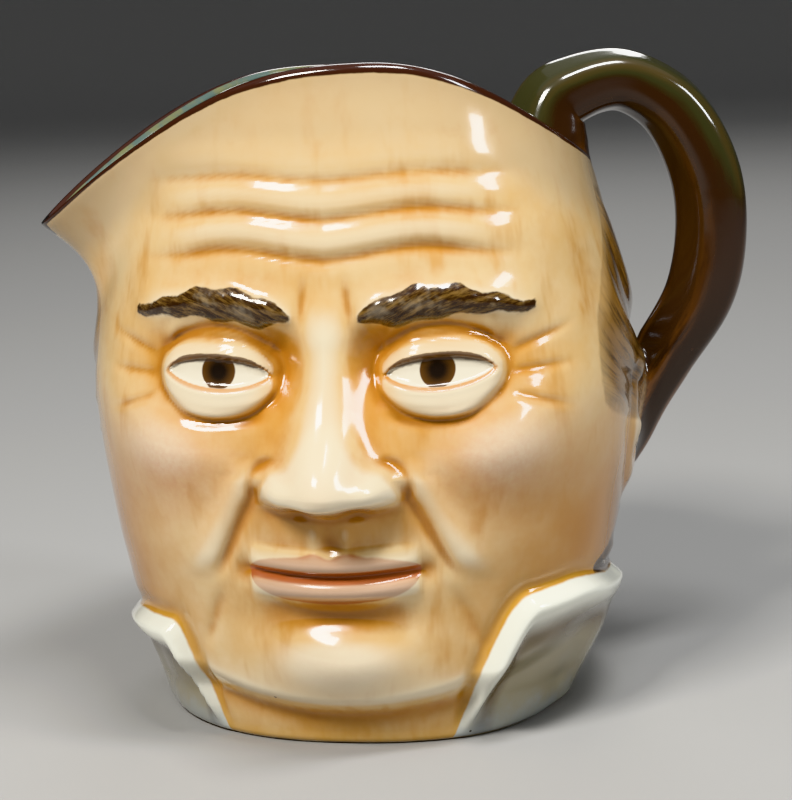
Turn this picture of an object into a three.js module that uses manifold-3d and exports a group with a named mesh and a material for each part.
// A glazed earthenware jug in the form of a head, cast in one piece with its handle.
//
// Millimetres, +Z up. +X points to the handle and -X to the pouring lip, and the face looks
// towards -Y, turned a little to the lip. The head is bare above, with hair at the sides and
// back, and stands in an open wing collar. Its rim is cut as a saddle: high at the forehead,
// low at the lip and at the handle. The handle springs from the rim, arches over and comes
// back to the wall behind the ear.

import * as THREE from "three";
import { mergeVertices } from "three/addons/utils/BufferGeometryUtils.js";
import Module from "manifold-3d";

const wasm = await Module();
wasm.setup();

// Driving dimensions of the vessel.
const HEAD_HEIGHT = 144.5; // foot to the top of the rim over the forehead
const HEAD_WIDTH = 121; // across the temples
const FRONT_DEPTH = 54; // from the upright axis to the plain of the face
const BACK_DEPTH = 57; // from the upright axis to the back of the hair
const WALL = 4.2;
const FLOOR = 5;
const FOOT_RING = 7; // width of the ring that the jug stands on
const FOOT_RECESS = 1.5; // how far the middle of the underside is drawn in
const FLOOR_CORNER = 14; // inner radius between wall and floor
const LIP_REACH = 16.6; // how far the pouring lip stands out from the head
const LIP_DEPTH = 23; // height over which the lip draws out of the wall
const HANDLE_DIAMETER = 16; // of the grip
const HANDLE_REACH = 80.2; // from the upright axis to the middle of the grip
const HANDLE_DIP = 8.1; // from the top of the rim down to the top of its middle line
const HANDLE_FOOT = 55.4; // height at which its middle line meets the wall
const HANDLE_TAIL = 18; // how far its end runs down the wall below that
const COLLAR_HEIGHT = 30; // at the points of its wings
const COLLAR_TILT = 0.15; // share by which it is higher to the right and lower to the left
const COLLAR_SPREAD = 2.8; // how far it stands out from the neck
const COLLAR_ROLL = 1.4; // how far its rounded edge stands out beyond that
const HAIR_DEPTH = 1.7; // from the crest of a lock to the valley beside it
const RIM_BAND = 8; // width of the plain band between hair and rim
const FACE_TURN = THREE.MathUtils.degToRad(15); // from -Y towards the lip

// The handle's middle line is a fixed drop below the rim, so that the jug's top stays its rim.
const HANDLE_TOP = HEAD_HEIGHT - HANDLE_DIP;

// The carving is measured in hundredths of the head's height.
const UNIT = HEAD_HEIGHT / 100;

// How finely the surfaces are divided.
const HEAD_COLUMNS = 76;
const FACE_CROWDING = 0.36; // 0 spaces the head's columns evenly, more crowds them onto the face
const HEAD_ROWS = 42;
const CAVITY_COLUMNS = 36;
const CAVITY_ROWS = 9;
const HANDLE_SIDES = 15;
const HANDLE_STEPS = 29;

const { clamp, degToRad, lerp, smoothstep } = THREE.MathUtils;

// A smooth round hill of height 1, sx wide and sz tall.
const hill = (x, z, cx, cz, sx, sz) => Math.exp(-(((x - cx) / sx) ** 2) - ((z - cz) / sz) ** 2);

// A smooth ridge of height 1 where distance is nought.
const ridge = (distance, width) => Math.exp(-((distance / width) ** 2));

// The broad forms of the face, which the inside of the wall follows too. Side is the distance
// from the face's middle line, and the result stands forward of the plain head, all in UNITs.
function broadFace(side, z) {
  const sockets = -3.4 * hill(side, z, 15.2, 58.5, 9.5, 6.5) - 2 * hill(side, z, 7.2, 59.5, 4, 5);
  const nose = 4.4 * hill(side, z, 0, 42.5, 9, 9);
  const mouth = 1.9 * hill(side, z, 0, 29, 13, 7) - 1.6 * hill(side, z, 0, 21.6, 9, 2.7);
  const chin = 3.8 * hill(side, z, 0, 15, 10, 5.8);
  const cheeks = 3.2 * hill(side, z, 25.5, 47.5, 9, 7.5) + 0.8 * hill(side, z, 22, 34, 9, 9);
  const temples = -1.2 * hill(side, z, 37, 68, 7, 10);
  const jaw = 7 + 11 * (side / 38) ** 2;
  const throat = -3 * smoothstep(jaw + 2 - z, 0, 5);
  return sockets + nose + mouth + chin + cheeks + temples + throat;
}

// The bridge, tip and wings of the nose.
function carvedNose(side, z) {
  const down = clamp((61 - z) / 19, 0, 1);
  const underside = smoothstep(z, 37.2, 40.6);
  const bridge = (1.4 + 3.8 * down ** 1.5) * smoothstep(70 - z, 0, 8);
  const flank = Math.exp(-((side / lerp(4, 6, down ** 2)) ** 2.6));
  const tip = 1.5 * hill(side, z, 0, 42.8, 5.4, 4.4);
  const wings = 3.2 * hill(side, z, 7.3, 41.4, 3, 3.2);
  return underside * (bridge * flank + tip + wings);
}

// Brow ridges, and the domed lids with the opening between them that fill each socket.
function carvedEyes(side, z) {
  const brow = 65 + 2.4 * ridge(side - 17, 10);
  const brows = 1.7 * ridge(z - brow, 3) * smoothstep(side, 2, 8) * smoothstep(31 - side, 0, 8);
  const lids = 3.6 * Math.max(0, 1 - ((side - 15.8) / 9) ** 2 - ((z - 57.6) / 6.2) ** 2);
  const opening = -1 * ridge(z - 57.6, 1.8) * Math.sqrt(Math.max(0, 1 - ((side - 15.8) / 7.6) ** 2));
  return brows + lids + opening;
}

// Two closed lips, level and at rest, with the line between them.
function carvedMouth(side, z) {
  const along = clamp(side / 12.4, 0, 1);
  const line = 28.4 + 0.5 * along ** 2;
  const fullness = Math.sqrt(1 - along ** 2);
  const upper = 1.5 * ridge(z - line - 1.9, 1.6);
  const lower = 1.9 * ridge(z - line + 2.2, 1.8);
  return fullness * (upper + lower) - 0.7 * ridge(z - line, 1.1) * smoothstep(14 - side, 0, 4);
}

// Distance in millimetres inside the edge of the hair, at an angle from the face's middle.
function insideHair(phi, z) {
  const angle = Math.abs(phi);
  const level = z / UNIT;
  const sideburn = 14 * ridge(level - 54, 12);
  const behindEar = 26 * smoothstep(44 - level, 0, 8);
  const front = degToRad(86 - sideburn + behindEar);
  const crown = lerp(74, 100, smoothstep(angle, degToRad(80), degToRad(140))) * UNIT;
  const top = Math.min(crown, rimHeight(phi) - RIM_BAND);
  return Math.min((angle - front) * (HEAD_WIDTH / 2), top - z, -insideCollar(phi, z));
}

// Hair laid in broad locks that sweep back and down towards the nape. The skin's level lies
// between their crests and valleys.
function hairRelief(phi, z) {
  const angle = Math.abs(phi);
  const edge = smoothstep(insideHair(phi, z), 0, 3);
  const sweep = angle * 13 + (z / UNIT) * 0.36 + 0.7 * Math.sin((z / UNIT) * 0.2 - angle * 3);
  return edge * HAIR_DEPTH * (0.15 + 0.5 * Math.sin(sweep));
}

// An ear that lies close to the head. The hair covers its upper part.
function earRelief(angle, z) {
  const across = ((angle - degToRad(92)) * HEAD_WIDTH) / 2 / UNIT;
  const up = z / UNIT - 42.5 + across * 0.2;
  const reach = (across / 5.6) ** 2 + (up / 10.5) ** 2;
  return UNIT * (1.5 * Math.exp(-(reach ** 2)) - 1.5 * Math.exp(-5 * reach));
}

// Height of the collar's edge at an angle from the face's middle: it opens in front as a V
// between two wings, and is lower at the sides.
function collarEdge(phi) {
  const angle = Math.abs(phi);
  const opening = smoothstep(angle, degToRad(28), degToRad(45));
  const side = 0.2 * smoothstep(angle, degToRad(55), degToRad(85));
  const back = 0.15 * smoothstep(angle, degToRad(100), degToRad(170));
  return COLLAR_HEIGHT * (opening - side + back) * (1 + COLLAR_TILT * Math.sin(phi));
}

// Distance in millimetres inside the collar's edge, square to that edge.
function insideCollar(phi, z) {
  const step = 0.02;
  const slope = (collarEdge(phi + step) - collarEdge(phi - step)) / (step * HEAD_WIDTH);
  return (collarEdge(phi) - z) / Math.hypot(1, slope);
}

// How far the collar stands out: it flares up from the foot to a rounded edge, with a gutter
// where the edge meets the skin.
function collarRelief(phi, z) {
  const depth = insideCollar(phi, z);
  const flare = COLLAR_SPREAD * smoothstep(z, -5, 16);
  const roll = COLLAR_ROLL * ridge(depth - 3.4, 3.4) * smoothstep(z, 0, 8);
  const gutter = -0.8 * ridge(depth + 2.2, 2) * smoothstep(z, 0, 8);
  return smoothstep(depth, -1.2, 2.8) * (flare + roll) + gutter;
}

// Half width or depth of the plain head at a height, from its greatest, foot and rim values.
function headProfile(z, widest, foot, rim, level) {
  const middle = level * HEAD_HEIGHT;
  if (z < middle) return widest - (widest - foot) * ((middle - z) / middle) ** 1.5;
  return widest - (widest - rim) * ((z - middle) / (HEAD_HEIGHT - middle)) ** 1.6;
}

// Radius of the plain head at an angle from the face's middle: a squared oval.
function plainRadius(phi, z) {
  const half = HEAD_WIDTH / 2;
  const side = headProfile(z, half, half * 0.785, half * 0.67, 0.52);
  const depth = Math.cos(phi) > 0
    ? headProfile(z, FRONT_DEPTH, FRONT_DEPTH * 0.87, FRONT_DEPTH * 0.86, 0.48)
    : headProfile(z, BACK_DEPTH, BACK_DEPTH * 0.8, BACK_DEPTH * 0.8, 0.55);
  const power = 2.3;
  const sum = Math.abs(Math.sin(phi) / side) ** power + Math.abs(Math.cos(phi) / depth) ** power;
  return sum ** (-1 / power);
}

// Angle from the pouring lip, either way.
const fromLip = (phi) => Math.abs(Math.atan2(Math.cos(phi - FACE_TURN), -Math.sin(phi - FACE_TURN)));

// Share of the lip's reach at an angle: a narrow beak on a broad swelling.
const lipShare = (phi) => 0.52 * ridge(fromLip(phi), 0.28) + 0.48 * ridge(fromLip(phi), 0.62);

// Height of the rim at an angle: a saddle across the pouring axis, which falls late but steeply
// to the lip, evenly to the handle, and a little to the back.
function rimHeight(phi) {
  const theta = phi - FACE_TURN;
  const radius = plainRadius(phi, HEAD_HEIGHT * 0.88) + LIP_REACH * lipShare(phi);
  const across = (radius * Math.sin(theta) + 3.5) / HEAD_HEIGHT;
  const back = (-radius * Math.cos(theta)) / HEAD_HEIGHT;
  const fall = across < 0 ? 2 * (-across) ** 2.6 : 1.23 * across ** 2;
  return HEAD_HEIGHT * (0.986 - fall - 0.045 * back);
}

// Radial reach of the pouring lip and of the slight flare that runs round the rim.
function rimFlare(phi, z) {
  const rise = clamp(1 - (rimHeight(phi) - z) / LIP_DEPTH, 0, 1.2);
  return LIP_REACH * lipShare(phi) * rise ** 2.3 + 1.2 * rise ** 6;
}

// A point at an angle and height, out by radius and then forward towards where the face looks.
function placed(phi, z, radius, forward) {
  const x = radius * Math.sin(phi);
  const ahead = radius * Math.cos(phi) + forward;
  return new THREE.Vector3(
    x * Math.cos(FACE_TURN) - ahead * Math.sin(FACE_TURN),
    -x * Math.sin(FACE_TURN) - ahead * Math.cos(FACE_TURN),
    z,
  );
}

// Share of the face's carving that is left at an angle from its middle.
const faceShare = (angle) => smoothstep(degToRad(84) - angle, 0, degToRad(24));

// The outer surface at an angle and height, drawn in by inset.
function outside(phi, z, inset = 0) {
  const angle = Math.abs(phi);
  const radius = plainRadius(phi, z) + rimFlare(phi, z);
  const side = Math.abs(radius * Math.sin(phi)) / UNIT;
  const level = z / UNIT;
  const features = carvedNose(side, level) + carvedEyes(side, level) + carvedMouth(side, level);
  const carving = broadFace(side, level) + features;
  const relief = hairRelief(phi, z) + earRelief(angle, z) + collarRelief(phi, z);
  return placed(phi, z, radius + relief - inset, carving * UNIT * faceShare(angle));
}

// The inner surface, a wall's thickness behind the head's broad forms.
function inside(phi, z, inset = 0) {
  const radius = plainRadius(phi, z) + rimFlare(phi, z);
  const side = Math.abs(radius * Math.sin(phi)) / UNIT;
  const forward = broadFace(side, z / UNIT) * UNIT * faceShare(Math.abs(phi));
  return placed(phi, z, radius - WALL - inset, forward);
}

// A closed solid from rings of points that run anticlockwise, from the lowest to the highest.
// Its squares are split along mirrored diagonals in the first and last half of each ring, so
// that both sides of the face are alike.
function ringSolid(rings) {
  const count = rings[0].length;
  const points = rings.flat();
  const middle = (ring) => ring.reduce((sum, p) => sum.add(p), new THREE.Vector3()).divideScalar(count);
  const bottom = points.push(middle(rings[0])) - 1;
  const top = points.push(middle(rings.at(-1))) - 1;
  const faces = [];
  for (let j = 0; j < count; j++) {
    const next = (j + 1) % count;
    faces.push(bottom, next, j);
    for (let i = 0; i + 1 < rings.length; i++) {
      const [a, b] = [i * count + j, i * count + next];
      if (j < count / 2) faces.push(a, b, a + count, b, b + count, a + count);
      else faces.push(a, b, b + count, a, b + count, a + count);
    }
    const last = (rings.length - 1) * count;
    faces.push(top, last + j, last + next);
  }
  const geometry = new THREE.BufferGeometry().setFromPoints(points).setIndex(faces);
  return solidOf(geometry);
}

// The manifold-3d solid of a closed geometry.
function solidOf(geometry) {
  const merged = mergeVertices(geometry, 1e-4);
  return new wasm.Manifold(
    new wasm.Mesh({
      numProp: 3,
      vertProperties: new Float32Array(merged.getAttribute("position").array),
      triVerts: new Uint32Array(merged.index.array),
    }),
  );
}

// The geometry of a manifold-3d solid, with a flat normal on each face.
function geometryOf(solid) {
  const mesh = solid.getMesh();
  const geometry = new THREE.BufferGeometry();
  geometry.setAttribute("position", new THREE.BufferAttribute(mesh.vertProperties, 3));
  geometry.setIndex(new THREE.BufferAttribute(mesh.triVerts, 1));
  const faceted = geometry.toNonIndexed();
  faceted.computeVertexNormals();
  return faceted;
}

// Angles of the head's columns from the face's middle: closest together over the face.
function headAngles() {
  const shares = Array.from({ length: HEAD_COLUMNS }, (_, i) => (2 * (i + 0.5)) / HEAD_COLUMNS - 1);
  return shares.map((t) => Math.PI * lerp(t, t ** 3, FACE_CROWDING));
}

const cavityAngles = () =>
  Array.from({ length: CAVITY_COLUMNS }, (_, i) => -Math.PI + (2 * Math.PI * (i + 0.5)) / CAVITY_COLUMNS);

// The head as if solid, with its foot and rim rounded over. Its rows are closest at the collar.
function headSolid() {
  const angles = headAngles();
  const round = WALL * 0.4;
  const rings = [angles.map((a) => outside(a, 0, round))];
  rings.push(angles.map((a) => outside(a, round * 0.4, round * 0.35)));
  for (let i = 0; i <= HEAD_ROWS; i++) {
    const share = i / HEAD_ROWS;
    const row = share * lerp(0.8, 1, share);
    rings.push(angles.map((a) => outside(a, lerp(round, rimHeight(a) - round, row))));
  }
  rings.push(angles.map((a) => outside(a, rimHeight(a) - round * 0.3, round * 0.3)));
  rings.push(angles.map((a) => outside(a, rimHeight(a), round)));
  rings.push(angles.map((a) => outside(a, rimHeight(a), WALL * 1.6)));
  return ringSolid(rings);
}

// The hollow of the jug, run on above the rim so that it cuts the mouth open.
function cavitySolid() {
  const angles = cavityAngles();
  const round = WALL * 0.4;
  const rings = [];
  for (const share of [0, 0.12, 0.35, 0.65]) {
    const inset = FLOOR_CORNER * (1 - Math.sqrt(1 - (1 - share) ** 2));
    rings.push(angles.map((a) => inside(a, FLOOR + FLOOR_CORNER * share, inset)));
  }
  for (let i = 0; i <= CAVITY_ROWS; i++) {
    const share = i / CAVITY_ROWS;
    rings.push(angles.map((a) => inside(a, lerp(FLOOR + FLOOR_CORNER, rimHeight(a) - round, share))));
  }
  rings.push(angles.map((a) => inside(a, rimHeight(a), -round)));
  rings.push(angles.map((a) => inside(a, rimHeight(a), -round).setZ(HEAD_HEIGHT * 1.2)));
  return ringSolid(rings);
}

// The shallow recess under the foot, which leaves a ring to stand on.
function recessSolid() {
  const angles = cavityAngles();
  const ring = (z, inset) => angles.map((a) => inside(a, 0, inset - WALL).setZ(z));
  return ringSolid([ring(-1, FOOT_RING), ring(0, FOOT_RING), ring(FOOT_RECESS, FOOT_RING + FOOT_RECESS)]);
}

// Middle line of the handle in the X-Z plane, from its drip inside the rim to the wall.
function handleLine() {
  const rim = rimHeight(FACE_TURN + Math.PI / 2);
  const wallAt = (z) => plainRadius(FACE_TURN + Math.PI / 2, z);
  const mouth = wallAt(rim);
  const arch = HANDLE_TOP - rim;
  const drop = HANDLE_TOP - HANDLE_FOOT;
  const out = HANDLE_REACH - mouth;
  return new THREE.CatmullRomCurve3(
    [
      [mouth - WALL, rim - HANDLE_DIAMETER * 0.95],
      [mouth - WALL * 2.2, rim - HANDLE_DIAMETER * 0.55],
      [mouth - WALL * 1.8, rim + arch * 0.7],
      [mouth - out * 0.08, rim + arch * 0.9],
      [mouth + out * 0.26, HANDLE_TOP],
      [mouth + out * 0.58, HANDLE_TOP - drop * 0.05],
      [mouth + out * 0.79, HANDLE_TOP - drop * 0.13],
      [mouth + out * 0.97, HANDLE_TOP - drop * 0.28],
      [HANDLE_REACH, HANDLE_TOP - drop * 0.45],
      [mouth + out * 0.9, HANDLE_TOP - drop * 0.61],
      [mouth + out * 0.59, HANDLE_TOP - drop * 0.78],
      [mouth + out * 0.38, HANDLE_TOP - drop * 0.89],
      [wallAt(HANDLE_FOOT) - HANDLE_DIAMETER * 0.11, HANDLE_FOOT],
      [wallAt(HANDLE_FOOT - HANDLE_TAIL) - HANDLE_DIAMETER * 0.49, HANDLE_FOOT - HANDLE_TAIL],
    ].map(([x, z]) => new THREE.Vector3(x, 0, z)),
    false,
    "centripetal",
  );
}

// A point near the wall, moved straight out to the middle of the wall's thickness if it lies
// further in than that.
function keptInWall(point) {
  const phi = Math.atan2(point.x, -point.y) + FACE_TURN;
  const limit = inside(phi, point.z, -WALL / 2);
  return Math.hypot(point.x, point.y) < Math.hypot(limit.x, limit.y) ? limit : point;
}

// Radius of the handle at a share of its length: a drip on the inside of the rim, swollen where
// it crosses the rim, thinnest at the top of its arch, with a tail that thins into the wall.
function handleRadius(t) {
  const root = 0.42 * ridge(t - 0.09, 0.07);
  const arch = 0.15 * ridge(t - 0.29, 0.1);
  const tail = 0.1 * smoothstep(t, 0.6, 0.75) + 0.35 * smoothstep(t, 0.85, 1);
  return (HANDLE_DIAMETER / 2) * (smoothstep(t, -0.06, 0.05) + root - arch - tail);
}

// The handle: a round bar with five shallow flutes that wind slowly along it.
function handleSolid() {
  const line = handleLine();
  const rings = [];
  for (let i = 0; i <= HANDLE_STEPS; i++) {
    const t = i / HANDLE_STEPS;
    const at = line.getPointAt(t);
    const along = line.getTangentAt(t);
    const out = new THREE.Vector3(-along.z, 0, along.x);
    const ring = [];
    for (let j = 0; j < HANDLE_SIDES; j++) {
      const turn = (2 * Math.PI * j) / HANDLE_SIDES;
      const radius = handleRadius(t) * (1 + 0.04 * Math.cos(5 * turn + 5 * t));
      ring.push(at.clone().addScaledVector(out, radius * Math.cos(turn)).setY(-radius * Math.sin(turn)));
    }
    rings.push(t > 0.6 ? ring.map(keptInWall) : ring);
  }
  return ringSolid(rings);
}

// The whole jug, placed so that the origin is under the middle of its box.
function jugMesh() {
  const vessel = headSolid().subtract(cavitySolid()).subtract(recessSolid());
  const geometry = geometryOf(vessel.add(handleSolid()));
  geometry.computeBoundingBox();
  const middle = geometry.boundingBox.getCenter(new THREE.Vector3());
  const glaze = new THREE.MeshStandardMaterial({ color: 0xe6cda3, roughness: 0.15, metalness: 0 });
  const mesh = new THREE.Mesh(geometry, glaze);
  mesh.name = "jug";
  mesh.position.set(-middle.x, -middle.y, 0);
  return mesh;
}

const jug = new THREE.Group();
jug.add(jugMesh());
export default jug;
